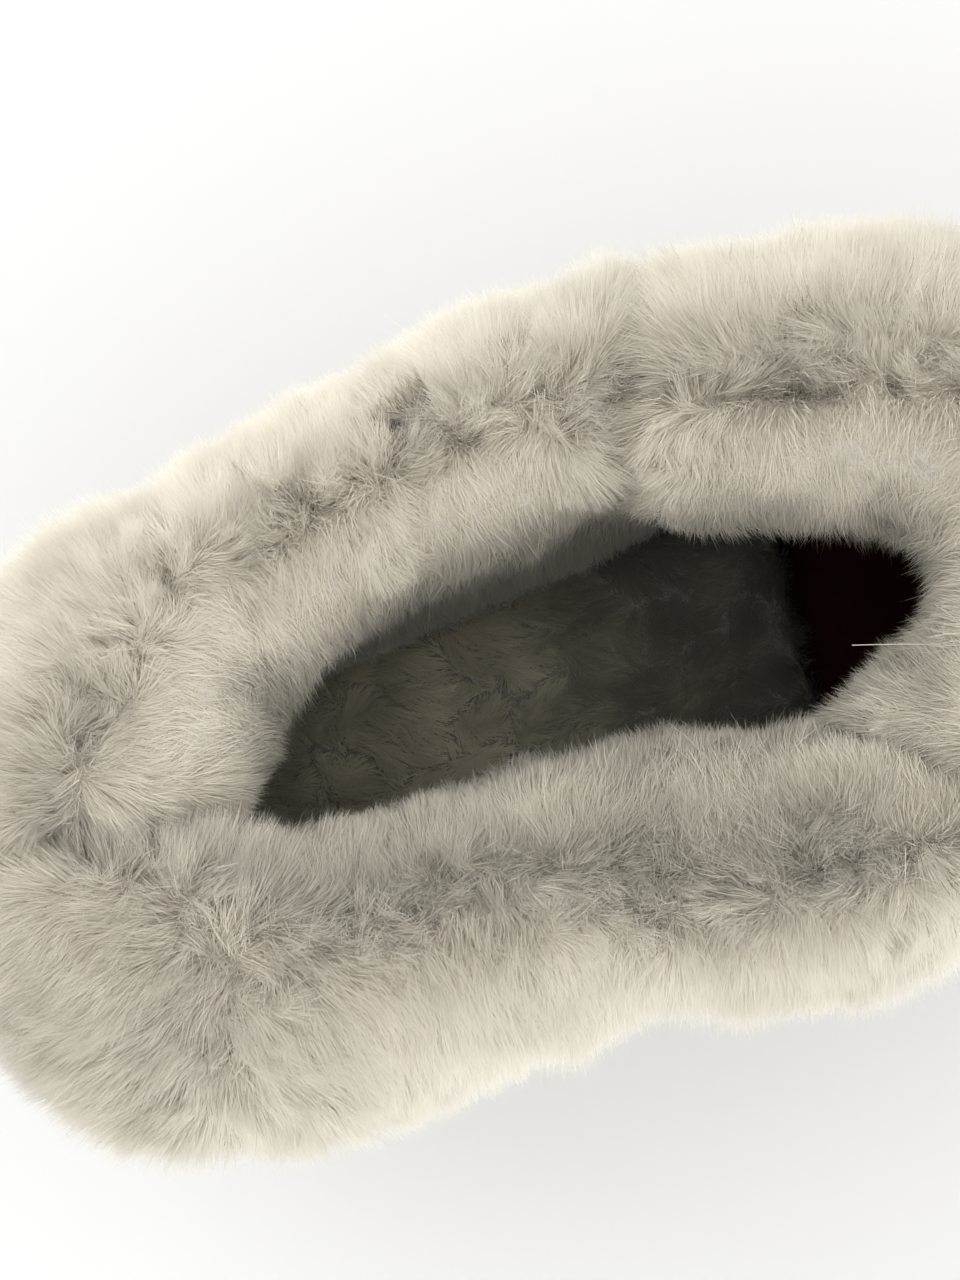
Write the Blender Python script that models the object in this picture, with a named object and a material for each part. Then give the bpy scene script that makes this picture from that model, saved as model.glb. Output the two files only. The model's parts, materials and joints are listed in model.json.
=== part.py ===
"""Fur-lined slip-on sneaker for the left foot.

Metres, +Z up. The origin is on the floor under the middle of the heel seat, +X points to
the toe and +Y to the outer (lateral) side. Every piece is worked out from the sections of
the last below, so a changed size carries through all of them.
"""
import math
from collections import namedtuple

import bmesh
import bpy
from mathutils import Vector

# Driving sizes of the last and the sole
OUTSOLE_LENGTH = 0.268
BALL_WIDTH = 0.094
COLLAR_WIDTH = 0.067
COLLAR_HEIGHT = 0.094
HEEL_SEAT = 0.034
HEEL_STACK = 0.022
FOREFOOT_STACK = 0.017
TOE_SPRING = 0.011
ARCH_RISE = 0.003
HEEL_ROLL = 0.0015

# Cupsole and tread
OUTSOLE_THICKNESS = 0.005
OUTSOLE_CHAMFER = 0.0012
OUTSOLE_LEDGE = 0.0010
WELT_STEP = 0.0009
RIM_THICKNESS = 0.0036
RIM_HEIGHT = 0.0060
RIM_ROUND = 0.0008
TOE_GUARD = 0.0040
TREAD_DEPTH = 0.0024
TREAD_GROOVE = 0.0032
TREAD_PITCH = 0.0105
TREAD_BORDER = 0.0065
TREAD_SWEEP = 0.0050
# Where heel and forefoot are grooved, as shares of OUTSOLE_LENGTH from the heel's back
TREAD_BANDS = ((0.05, 0.31), (0.46, 0.94))

# Upper and what lies in it
UPPER_WALL = 0.0024
INSOLE_THICKNESS = 0.0040
INSOLE_CHAMFER = 0.0012
SOCK_THICKNESS = 0.0075
SOCK_END = 0.482
SOCK_SLANT = 0.0030
SOCK_BOW = 0.0035
SOCK_MARGIN = 0.0012
SOCK_CROWN = 0.0080
FIT_GAP = 0.0004

# Fur cuff, turned over the collar
CREST_RISE = 0.0150
BRIM_DROP = 0.0090
MOUTH_DROP = 0.0070
LINING_DEPTH = 0.0080
HEM_DEPTH = 0.0045
HEM_SAG = 0.0020
LOCK_LENGTH = 0.0050
LOCK_SWEEP = 0.70
LINING_LOCK = 0.4
TUFT_LENGTH = 0.0018
PELT_GAP = 0.07
LOBE_SHARE = 0.12
LOBE_LENGTH = 0.016

# Mesh density: columns between two rows of a table, levels up the wall, and cells across
# the fur insole
COLUMNS = 3
LEVELS = 12
PAD_STEPS = 6

# One row for each section from toe to heel. along is a share of OUTSOLE_LENGTH from the
# heel's back, lateral and medial are shares of BALL_WIDTH at the sole's edge, top_along,
# top_across and top_height place the collar's rim as shares of OUTSOLE_LENGTH,
# COLLAR_WIDTH and COLLAR_HEIGHT. belly and rise bend the wall above the sole, reach and
# drop bend it below the rim, as shares of the wall's own spans.
Section = namedtuple(
    "Section",
    "along lateral medial top_along top_across top_height belly rise reach drop",
)
SECTIONS = [
    Section(1.000, -0.064, 0.064, 0.541, 0.000, 1.000, 0.035, 0.40, 0.46, 0.46),
    Section(0.978, 0.149, 0.234, 0.534, 0.112, 0.997, 0.035, 0.40, 0.46, 0.45),
    Section(0.918, 0.319, 0.372, 0.519, 0.216, 0.984, 0.035, 0.40, 0.46, 0.44),
    Section(0.828, 0.436, 0.452, 0.481, 0.321, 0.957, 0.035, 0.40, 0.46, 0.42),
    Section(0.687, 0.500, 0.489, 0.429, 0.410, 0.920, 0.035, 0.38, 0.45, 0.40),
    Section(0.530, 0.447, 0.394, 0.362, 0.470, 0.878, 0.036, 0.36, 0.36, 0.38),
    Section(0.392, 0.388, 0.330, 0.287, 0.500, 0.851, 0.038, 0.35, 0.25, 0.36),
    Section(0.246, 0.356, 0.330, 0.201, 0.493, 0.862, 0.042, 0.35, 0.18, 0.35),
    Section(0.127, 0.335, 0.324, 0.123, 0.425, 0.904, 0.048, 0.35, 0.12, 0.34),
    Section(0.037, 0.234, 0.234, 0.060, 0.261, 0.957, 0.056, 0.35, 0.06, 0.34),
    Section(0.000, 0.000, 0.000, 0.030, 0.000, 0.979, 0.060, 0.35, 0.00, 0.34),
]

# The fur's plan at the same rows: the mouth that the foot goes in by and the brim where
# the cuff is widest, along as shares of OUTSOLE_LENGTH and across as shares of
# BALL_WIDTH. lining and hem are the levels, 0 at the sole and 1 at the rim, where the
# fur ends inside and outside.
FurRow = namedtuple(
    "FurRow",
    "mouth_along mouth_lateral mouth_medial brim_along brim_lateral brim_medial lining hem",
)
FUR_ROWS = [
    FurRow(0.500, -0.043, 0.043, 0.655, 0.000, 0.000, 0.86, 0.84),
    FurRow(0.489, 0.000, 0.085, 0.650, 0.165, 0.170, 0.85, 0.84),
    FurRow(0.466, 0.043, 0.128, 0.628, 0.345, 0.335, 0.82, 0.82),
    FurRow(0.425, 0.096, 0.165, 0.578, 0.490, 0.490, 0.74, 0.76),
    FurRow(0.377, 0.154, 0.154, 0.490, 0.575, 0.535, 0.60, 0.68),
    FurRow(0.332, 0.197, 0.128, 0.384, 0.600, 0.515, 0.42, 0.62),
    FurRow(0.280, 0.202, 0.106, 0.284, 0.600, 0.505, 0.30, 0.59),
    FurRow(0.224, 0.181, 0.101, 0.179, 0.578, 0.525, 0.27, 0.58),
    FurRow(0.179, 0.138, 0.096, 0.067, 0.520, 0.520, 0.26, 0.57),
    FurRow(0.149, 0.064, 0.069, -0.030, 0.335, 0.368, 0.25, 0.56),
    FurRow(0.129, -0.021, 0.021, -0.071, 0.000, 0.000, 0.25, 0.56),
]

# The places in the fur's section of its mouth, where the lining ends, its crest and brim
MOUTH_PLACE = 3
CREST_PLACE = 6
BRIM_PLACE = 9

HALF = len(SECTIONS) - 1
TOTAL_COLUMNS = 2 * HALF * COLUMNS
HEEL_COLUMN = HALF * COLUMNS
LATERAL_SEAM = 14
MEDIAL_SEAM = TOTAL_COLUMNS - 11

Finish = namedtuple("Finish", "colour roughness")
FINISHES = {
    "fur": Finish((0.72, 0.69, 0.62), 0.95),
    "oxblood_leather": Finish((0.16, 0.022, 0.024), 0.42),
    "oxblood_lining": Finish((0.085, 0.010, 0.012), 0.60),
    "cream_rubber": Finish((0.78, 0.75, 0.68), 0.55),
    "gum_rubber": Finish((0.40, 0.27, 0.15), 0.65),
}


def smoothstep(low, high, value):
    share = min(1.0, max(0.0, (value - low) / (high - low)))
    return share * share * (3 - 2 * share)


def spline(before, start, end, after, share):
    """A Catmull-Rom value between start and end."""
    return 0.5 * (
        2 * start
        + (end - before) * share
        + (2 * before - 5 * start + 4 * end - after) * share**2
        + (3 * start - before - 3 * end + after) * share**3
    )


def around(rows, column, read):
    """read(row, side) on the closed round of rows at a column: toe, lateral side, heel
    and medial side back to the toe."""
    position = column / COLUMNS
    row = math.floor(position)

    def value(index):
        index %= 2 * HALF
        if index <= HALF:
            return read(rows[index], 1)
        return read(rows[2 * HALF - index], -1)

    return spline(*(value(row + step) for step in (-1, 0, 1, 2)), position - row)


def across_of(row, side, lateral, medial):
    return getattr(row, lateral) if side > 0 else -getattr(row, medial)


def sole_edge(column, inset=0.0):
    """A plan point of the sole's edge, moved inwards by inset."""

    def at(place):
        return Vector((
            around(SECTIONS, place, lambda row, side: row.along) * OUTSOLE_LENGTH - HEEL_SEAT,
            around(SECTIONS, place, lambda row, side: across_of(row, side, "lateral", "medial"))
            * BALL_WIDTH,
        ))

    tangent = at(column + 0.5) - at(column - 0.5)
    inwards = Vector((-tangent.y, tangent.x)).normalized()
    return at(column) + inwards * inset


def along_share(x):
    return (x + HEEL_SEAT) / OUTSOLE_LENGTH


def toe_spring(x):
    return TOE_SPRING * max(0.0, (along_share(x) - 0.70) / 0.30) ** 2


def underside(x):
    """Height of the sole's underside: flat heel, raised waist, flat forefoot, toe spring."""
    share = along_share(x)
    waist = smoothstep(0.28, 0.39, share) - smoothstep(0.39, 0.50, share)
    heel = max(0.0, (0.05 - share) / 0.05)
    return ARCH_RISE * waist + toe_spring(x) + HEEL_ROLL * heel**2


def footbed(x):
    """Height of the tray inside the cupsole, which the upper and the insole stand on."""
    share = smoothstep(0.28, 0.62, along_share(x))
    return toe_spring(x) + HEEL_STACK + (FOREFOOT_STACK - HEEL_STACK) * share


def rim_height(x):
    return RIM_HEIGHT + TOE_GUARD * smoothstep(0.80, 0.97, along_share(x))


def collar_point(column):
    top_along = around(SECTIONS, column, lambda row, side: row.top_along)
    top_across = around(SECTIONS, column, lambda row, side: side * row.top_across)
    top_height = around(SECTIONS, column, lambda row, side: row.top_height)
    return Vector((
        top_along * OUTSOLE_LENGTH - HEEL_SEAT,
        top_across * COLLAR_WIDTH,
        top_height * COLLAR_HEIGHT,
    ))


def wall_curve(column, level):
    """The last's own surface: a cubic from the sole's edge to the collar's rim."""
    edge = sole_edge(column, RIM_THICKNESS + WELT_STEP + FIT_GAP)
    outer = sole_edge(column)
    top = collar_point(column)
    foot = Vector((edge.x, edge.y, footbed(edge.x) + FIT_GAP))
    span = top.z - foot.z
    outwards = (outer - edge).normalized()
    across = Vector((foot.x - top.x, foot.y - top.y, 0.0))
    belly = around(SECTIONS, column, lambda row, side: row.belly) * span
    rise = around(SECTIONS, column, lambda row, side: row.rise) * span
    reach = around(SECTIONS, column, lambda row, side: row.reach)
    drop = around(SECTIONS, column, lambda row, side: row.drop) * span
    low = foot + Vector((outwards.x * belly, outwards.y * belly, rise))
    high = top + across * reach - Vector((0.0, 0.0, drop))
    rest = 1 - level
    return (
        foot * rest**3
        + low * 3 * rest**2 * level
        + high * 3 * rest * level**2
        + top * level**3
    )


def wall_normal(column, level):
    """The outward direction of the last's surface."""
    step = 0.02
    low, high = max(0.0, level - step), min(1.0, level + step)
    rising = wall_curve(column, high) - wall_curve(column, low)
    onward = wall_curve(column + step, level) - wall_curve(column - step, level)
    return onward.cross(rising).normalized()


WALL = [
    [
        (wall_curve(column, level / LEVELS), wall_normal(column, level / LEVELS))
        for level in range(LEVELS + 1)
    ]
    for column in range(TOTAL_COLUMNS)
]


def skin(column, level, offset=0.0):
    """A point on the faceted last, between its columns and levels, moved outwards by
    offset, so that what lies against the upper follows the upper's own facets."""
    column %= TOTAL_COLUMNS
    first = math.floor(column)
    low = min(LEVELS - 1, math.floor(level * LEVELS))

    def at(place, step):
        point, normal = WALL[place % TOTAL_COLUMNS][step]
        return point + normal * offset

    def up(place):
        return at(place, low).lerp(at(place, low + 1), level * LEVELS - low)

    return up(first).lerp(up(first + 1), column - first)


def level_at(column, height, offset=0.0):
    """The level where the wall reaches a height."""
    low, high = 0.0, 1.0
    for _ in range(24):
        middle = (low + high) / 2
        if skin(column, middle, offset).z < height:
            low = middle
        else:
            high = middle
    return low


def wall_levels(low, high=1.0):
    """The last's own levels between two others, so that a piece bends where the wall
    does. Those outside the two repeat the nearer one and are merged later."""
    return [min(high, max(low, level / LEVELS)) for level in range(LEVELS + 1)]


def new_object(name, bm, finish, smooth_angle=40):
    """Puts a bmesh in the scene as a named part with its own material."""
    bmesh.ops.remove_doubles(bm, verts=bm.verts, dist=1e-6)
    bmesh.ops.recalc_face_normals(bm, faces=bm.faces)
    mesh = bpy.data.meshes.new(name)
    bm.to_mesh(mesh)
    bm.free()
    mesh.shade_smooth()
    mesh.set_sharp_from_angle(angle=math.radians(smooth_angle))
    obj = bpy.data.objects.new(name, mesh)
    bpy.context.scene.collection.objects.link(obj)
    look = FINISHES[finish]
    material = bpy.data.materials.new(name + "_finish")
    material.use_nodes = True
    shader = material.node_tree.nodes["Principled BSDF"]
    shader.inputs["Base Color"].default_value = (*look.colour, 1.0)
    shader.inputs["Roughness"].default_value = look.roughness
    mesh.materials.append(material)
    return obj


def ring_of(bm, points):
    return [bm.verts.new(point) for point in points]


def bridge(bm, first, second, closed=True, falling=False):
    """Quads between two rows of vertices of the same length. Each quad's diagonal climbs
    the wall in the same direction in every piece, also where the rows are falling."""
    faces = []
    count = len(first)
    for index in range(count if closed else count - 1):
        after = (index + 1) % count
        corners = [first[index], first[after], second[after], second[index]]
        if falling:
            corners = corners[1:] + corners[:1]
        faces.append(bm.faces.new(corners))
    return faces


def span_across(bm, ring):
    """Closes a round ring with strips from its lateral to its medial side."""
    half = len(ring) // 2
    for index in range(half):
        corners = [ring[index], ring[index + 1], ring[-index - 1], ring[-index]]
        distinct = list(dict.fromkeys(corners))
        bm.faces.new(distinct)


def plate(name, finish, rings):
    """A plate whose rings run from the middle of one face, over the edge, to the other."""
    bm = bmesh.new()
    made = [ring_of(bm, ring) for ring in rings]
    for first, second in zip(made, made[1:]):
        bridge(bm, first, second)
    span_across(bm, made[0])
    span_across(bm, made[-1])
    return new_object(name, bm, finish)


def sole_ring(inset, height):
    """The sole's outline at an inset, with height(x) as its Z."""
    ring = []
    for column in range(TOTAL_COLUMNS):
        edge = sole_edge(column, inset)
        ring.append(Vector((edge.x, edge.y, height(edge.x))))
    return ring


def tread_cutter():
    """Chevron grooves across heel and forefoot, as one hidden cutter."""
    bm = bmesh.new()
    behind = math.ceil(HEEL_SEAT / TREAD_PITCH)
    for index in range(-behind, math.ceil(OUTSOLE_LENGTH / TREAD_PITCH) - behind):
        x = (index + 0.5) * TREAD_PITCH
        share = along_share(x)
        if not any(start < share < end for start, end in TREAD_BANDS):
            continue
        reach = {side: groove_reach(x, side) for side in (1, -1)}
        spine = [(x - TREAD_SWEEP, reach[1]), (x, 0.0), (x - TREAD_SWEEP, -reach[-1])]
        half = TREAD_GROOVE / 2
        outline = [(px + half, py) for px, py in spine] + [(px - half, py) for px, py in reversed(spine)]
        top = underside(x) + TREAD_DEPTH
        face = bm.faces.new([bm.verts.new((px, py, top)) for px, py in outline])
        grown = bmesh.ops.extrude_face_region(bm, geom=[face])
        low = [item for item in grown["geom"] if isinstance(item, bmesh.types.BMVert)]
        bmesh.ops.translate(bm, verts=low, vec=(0.0, 0.0, -TREAD_DEPTH - TOE_SPRING))
    cutter = new_object("tread_cutter", bm, "gum_rubber")
    cutter.hide_render = True
    cutter.display_type = "WIRE"
    return cutter


def groove_reach(x, side):
    """How far from the middle a groove runs before the tread's border."""
    nearest = min(
        (
            sole_edge(column, TREAD_BORDER)
            for column in range(TOTAL_COLUMNS)
            if (column < HEEL_COLUMN) == (side > 0)
        ),
        key=lambda edge: abs(edge.x - x),
    )
    return abs(nearest.y)


def outsole():
    top = lambda x: underside(x) + OUTSOLE_THICKNESS
    made = plate("outsole", "gum_rubber", [
        sole_ring(OUTSOLE_CHAMFER, underside),
        sole_ring(0.0, lambda x: underside(x) + OUTSOLE_CHAMFER),
        sole_ring(0.0, top),
    ])
    cut = made.modifiers.new("tread", "BOOLEAN")
    cut.operation = "DIFFERENCE"
    cut.object = tread_cutter()
    return made


def midsole():
    """The cupsole: side wall with a welt step and a pinstripe groove, rim and tray."""
    base = lambda x: underside(x) + OUTSOLE_THICKNESS + FIT_GAP
    crown = lambda x: footbed(x) + rim_height(x)

    def between(share):
        return lambda x: base(x) + (crown(x) - base(x)) * share

    side = [
        (0.00, OUTSOLE_LEDGE),
        (0.30, OUTSOLE_LEDGE * 0.4),
        (0.34, OUTSOLE_LEDGE * 0.4 + WELT_STEP),
        (0.42, OUTSOLE_LEDGE * 0.4 + WELT_STEP),
        (0.46, OUTSOLE_LEDGE * 0.4),
        (0.94, OUTSOLE_LEDGE * 0.4 + WELT_STEP * 0.4),
        (1.00, WELT_STEP + RIM_ROUND),
    ]
    bm = bmesh.new()
    rings = [ring_of(bm, sole_ring(OUTSOLE_LEDGE, base))]
    rings += [ring_of(bm, sole_ring(inset, between(share))) for share, inset in side[1:]]
    inner = [[] for _ in range(LEVELS + 1)]
    for column in range(TOTAL_COLUMNS):
        foot = skin(column, 0.0, FIT_GAP)
        top = level_at(column, crown(foot.x), FIT_GAP)
        for ring, level in zip(inner, wall_levels(0.0, top)):
            ring.append(skin(column, level, FIT_GAP))
    tray = [Vector((point.x, point.y, footbed(point.x))) for point in inner[0]]
    inner = [ring_of(bm, ring) for ring in reversed(inner)]
    for first, second in zip(rings, rings[1:] + inner[:1]):
        bridge(bm, first, second)
    for first, second in zip(inner, inner[1:]):
        bridge(bm, first, second, falling=True)
    floor = ring_of(bm, tray)
    bridge(bm, inner[-1], floor)
    span_across(bm, rings[0])
    span_across(bm, floor)
    return new_object("midsole", bm, "cream_rubber")


def upper():
    """One hollow wall, open at the collar and underneath."""
    bm = bmesh.new()
    levels = [level / LEVELS for level in range(LEVELS + 1)]
    shells = []
    for offset in (0.0, -UPPER_WALL):
        shells.append([
            ring_of(bm, [skin(column, level, offset) for column in range(TOTAL_COLUMNS)])
            for level in levels
        ])
    for rings in shells:
        for first, second in zip(rings, rings[1:]):
            bridge(bm, first, second)
    bridge(bm, shells[0][-1], shells[1][-1])
    bridge(bm, shells[0][0], shells[1][0])
    return new_object("upper", bm, "oxblood_leather")


def inside_ring(height, clearance, columns=range(TOTAL_COLUMNS)):
    """An outline inside the upper, at a height above the footbed, that clears the wall
    from the foot up to that height."""
    ring = []
    for column in columns:
        edge = sole_edge(column)
        inwards = (sole_edge(column, 0.01) - edge).normalized()
        top = level_at(column, footbed(edge.x) + height, -UPPER_WALL)
        depth = max(
            (skin(column, top * step / 4, -UPPER_WALL).to_2d() - edge).dot(inwards)
            for step in range(5)
        )
        point = edge + inwards * (depth + clearance)
        ring.append(Vector((point.x, point.y, footbed(point.x) + height)))
    return ring


def insole():
    top = FIT_GAP + INSOLE_THICKNESS
    return plate("insole", "oxblood_lining", [
        inside_ring(FIT_GAP, FIT_GAP),
        inside_ring(top - INSOLE_CHAMFER, FIT_GAP),
        inside_ring(top, FIT_GAP + INSOLE_CHAMFER),
    ])


def pad_ring(height, inset, first):
    """The fur insole's outline: its front from lateral to medial, then round the heel."""
    sides = inside_ring(height, FIT_GAP + inset, range(first, TOTAL_COLUMNS - first + 1))
    end = SOCK_END * OUTSOLE_LENGTH - HEEL_SEAT - inset
    front = []
    for step in range(PAD_STEPS + 1):
        share = step / PAD_STEPS
        x = end + SOCK_SLANT * (1 - 2 * share) - SOCK_BOW * 4 * share * (1 - share)
        y = sides[0].y + (sides[-1].y - sides[0].y) * share
        front.append(Vector((x, y, footbed(x) + height)))
    return front + list(reversed(sides))


def pad_face(bm, ring):
    """Fills an outline made by pad_ring with rows of cells across it."""
    medial = ring[PAD_STEPS + 1:]
    half = len(medial) // 2
    heel, lateral = medial[half], list(reversed(medial))[:half]
    rows = [ring[:PAD_STEPS + 1]]
    for outer, inner in zip(lateral, medial):
        between = [outer.co.lerp(inner.co, step / PAD_STEPS) for step in range(1, PAD_STEPS)]
        rows.append([outer, *ring_of(bm, between), inner])
    cells = []
    for ahead, behind in zip(rows, rows[1:]):
        cells += bridge(bm, ahead, behind, closed=False)
    for one, other in zip(rows[-1], rows[-1][1:]):
        bm.faces.new((one, other, heel))
    return cells


def fur_insole():
    """The fur pad on the rear of the insole, crowned, with short tufts on its top."""
    low = FIT_GAP * 2 + INSOLE_THICKNESS
    end = SOCK_END * OUTSOLE_LENGTH - HEEL_SEAT - SOCK_SLANT - SOCK_BOW
    first = min(column for column in range(HEEL_COLUMN) if skin(column, 0.0).x < end - 0.012)
    bm = bmesh.new()
    rings = [
        ring_of(bm, pad_ring(low + SOCK_THICKNESS * share, inset, first))
        for share, inset in (
            (0.0, SOCK_MARGIN),
            (0.55, SOCK_MARGIN),
            (0.85, SOCK_MARGIN * 2.5),
            (1.0, SOCK_CROWN),
        )
    ]
    for below, above in zip(rings, rings[1:]):
        bridge(bm, below, above)
    pad_face(bm, rings[0])
    cells = pad_face(bm, rings[-1])
    middles = [face.calc_center_median() for face in cells]
    poked = bmesh.ops.poke(bm, faces=cells)
    for vert, middle in zip(poked["verts"], middles):
        height = TUFT_LENGTH * (0.7 + 0.3 * math.sin(middle.x * 1500 + middle.y * 2100))
        vert.co = middle + Vector((-height * 0.4, 0.0, height))
    return new_object("fur_insole", bm, "fur", 80)


def hem_level(column):
    """Where the fur ends outside."""
    return around(FUR_ROWS, column, lambda row, side: row.hem)


def fur_plan(column, place):
    """A plan point of the fur's mouth or brim."""
    along = around(FUR_ROWS, column, lambda row, side: getattr(row, place + "_along"))
    across = around(
        FUR_ROWS,
        column,
        lambda row, side: across_of(row, side, place + "_lateral", place + "_medial"),
    )
    return Vector((along * OUTSOLE_LENGTH - HEEL_SEAT, across * BALL_WIDTH, 0.0))


def lining_level(column):
    """Where the fur ends inside: at the table's level, or just above the fur insole."""
    foot = skin(column, 0.0)
    sock_top = footbed(foot.x) + INSOLE_THICKNESS + SOCK_THICKNESS + FIT_GAP * 6
    wanted = around(FUR_ROWS, column, lambda row, side: row.lining)
    return max(wanted, level_at(column, sock_top, -UPPER_WALL))


def fur_section(column, lobe):
    """The fur's section at a column, which straddles the collar's rim. It returns the
    points against the upper and the points of the fur's own surface. lobe under 1
    draws the fur in, as at the end of a pelt piece."""
    rim = skin(column, 1.0)
    inner, outer = -UPPER_WALL - FIT_GAP, FIT_GAP
    lining, hem = lining_level(column), hem_level(column)
    up = Vector((0.0, 0.0, FIT_GAP * 2))
    sag = Vector((0.0, 0.0, HEM_SAG))
    inside = [skin(column, level, inner) for level in wall_levels(lining)]
    outside = [skin(column, level, outer) for level in reversed(wall_levels(hem))]
    inside.append(inside[-1] + up)
    outside.insert(0, outside[0] + up)

    mouth = fur_plan(column, "mouth")
    mouth.z = rim.z - MOUTH_DROP
    brim = fur_plan(column, "brim")
    brim.z = rim.z - BRIM_DROP
    mouth = skin(column, 0.97, inner).lerp(mouth, lobe)
    brim = skin(column, 0.92, outer).lerp(brim, lobe)
    fur = [
        skin(column, lining, inner - HEM_DEPTH),
        skin(column, lining + (1 - lining) * 0.30, inner - LINING_DEPTH),
        skin(column, lining + (1 - lining) * 0.62, inner - LINING_DEPTH).lerp(mouth, 0.45),
        mouth,
    ]
    arch_rise = (CREST_RISE + (MOUTH_DROP + BRIM_DROP) / 2) * (0.55 + 0.45 * lobe)
    for step in range(1, 6):
        turn = math.pi * step / 6
        share = (1 - math.cos(turn)) / 2
        point = mouth.lerp(brim, share)
        point.z += arch_rise * math.sin(turn) ** 0.85
        fur.append(point)
    fur += [
        brim,
        brim.lerp(skin(column, hem, outer + HEM_DEPTH * 1.6), 0.6) - sag,
        skin(column, hem, outer + HEM_DEPTH * 0.8) - sag,
    ]
    return inside, outside, fur


def close_end(bm, wall, fur, reach):
    """Fills a pelt piece's end between the wall's points and the fur's, which start
    together at the hem and end at the rim and the crest. The wall is used up by the
    fur's place reach, its mouth or its brim."""
    wall = wall[:1] + [new for old, new in zip(wall, wall[1:]) if (new.co - old.co).length > 1e-6]
    last = len(wall) - 1
    place = 0
    for index in range(len(fur) - 1):
        bm.faces.new((wall[place], fur[index + 1], fur[index]))
        goal = min(last, round((index + 1) / reach * last))
        while place < goal:
            bm.faces.new((wall[place], wall[place + 1], fur[index + 1]))
            place += 1


def fur_piece(name, first_column, last_column):
    """One pelt piece of the cuff: a lobe over the rim with a lock on each of its cells.
    Locks point outwards and down, and at the ends they keep clear of the next piece."""
    inner_columns = range(first_column + 1, last_column)
    columns = [first_column + PELT_GAP, *inner_columns, last_column - PELT_GAP]
    bm = bmesh.new()
    insides, outsides, furs = [], [], []
    for column in columns:
        rim = collar_point(column)
        away = min((rim - collar_point(end)).length for end in (first_column, last_column))
        lobe = 1 - LOBE_SHARE * (1 - smoothstep(0.0, LOBE_LENGTH, away))
        for rows, points in zip((insides, outsides, furs), fur_section(column, lobe)):
            rows.append(ring_of(bm, points))
    locks = []
    for index in range(len(columns) - 1):
        inside, outside, fur = (rows[index:index + 2] for rows in (insides, outsides, furs))
        bridge(bm, *inside, closed=False)
        bridge(bm, *outside, closed=False, falling=True)
        cells = bridge(bm, *fur, closed=False)
        for one, other, place in ((inside, fur, 0), (outside, fur, -1)):
            bridge(bm, [one[0][place], other[0][place]], [one[1][place], other[1][place]], False)
        bridge(bm, [inside[0][-1], outside[0][0]], [inside[1][-1], outside[1][0]], False)
        lean = {0: 0.35, len(columns) - 2: -0.35}.get(index)
        locks += [(face, place, index, lean) for place, face in enumerate(cells)]
    for place in (0, -1):
        fur = furs[place]
        close_end(bm, insides[place], fur[:CREST_PLACE + 1], MOUTH_PLACE)
        below = len(fur) - 1 - BRIM_PLACE
        close_end(bm, outsides[place][::-1], fur[:CREST_PLACE - 1:-1], below)
        bm.faces.new((insides[place][-1], outsides[place][0], fur[CREST_PLACE]))
    bmesh.ops.recalc_face_normals(bm, faces=bm.faces)
    bm.normal_update()
    aims = []
    for face, place, index, lean in locks:
        middle = face.calc_center_median()
        near, far = furs[index][place].co, furs[index][place + 1].co
        across = (furs[index + 1][place].co - near).normalized()
        flow = (far - near).normalized() * (1 if place >= CREST_PLACE else -1)
        if place >= BRIM_PLACE:
            flow = Vector((0.0, 0.0, -0.6))
        aim = face.normal * 0.75 + flow * LOCK_SWEEP
        if lean:
            aim += across * (lean - aim.dot(across))
        reach = LOCK_LENGTH * (LINING_LOCK if place < MOUTH_PLACE else 1.0)
        reach = min((furs[index + 1][place].co - near).length * 0.8, reach)
        reach *= 0.75 + 0.25 * math.sin(middle.x * 900 + middle.y * 1300)
        aims.append(middle + aim * reach)
    poked = bmesh.ops.poke(bm, faces=[face for face, *_ in locks])
    for vert, tip in zip(poked["verts"], aims):
        vert.co = tip
    return new_object(name, bm, "fur", 180)


def main():
    for obj in list(bpy.data.objects):
        bpy.data.objects.remove(obj)
    outsole()
    midsole()
    upper()
    insole()
    fur_insole()
    fur_piece("fur_lateral", LATERAL_SEAM, HEEL_COLUMN)
    fur_piece("fur_medial", HEEL_COLUMN, MEDIAL_SEAM)
    fur_piece("fur_vamp", MEDIAL_SEAM, TOTAL_COLUMNS + LATERAL_SEAM)


main()
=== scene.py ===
"""Looks of the fur-lined sneaker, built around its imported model.

A left shoe at its real size, in metres, with its toe towards +X and its outer side
towards +Y. The cuff and the fur insole are soft pelts that carry hair, combed away from
the cuff's partings. Leather, lining, rubber and thread have their own finishes.
"""

import json
import math
from collections import namedtuple
from contextlib import contextmanager

import bmesh
import bpy
import numpy as np
from bpy.props import FloatProperty, FloatVectorProperty, IntProperty, PointerProperty
from mathutils import Matrix, Vector
from mathutils.bvhtree import BVHTree
from mathutils.kdtree import KDTree

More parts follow.
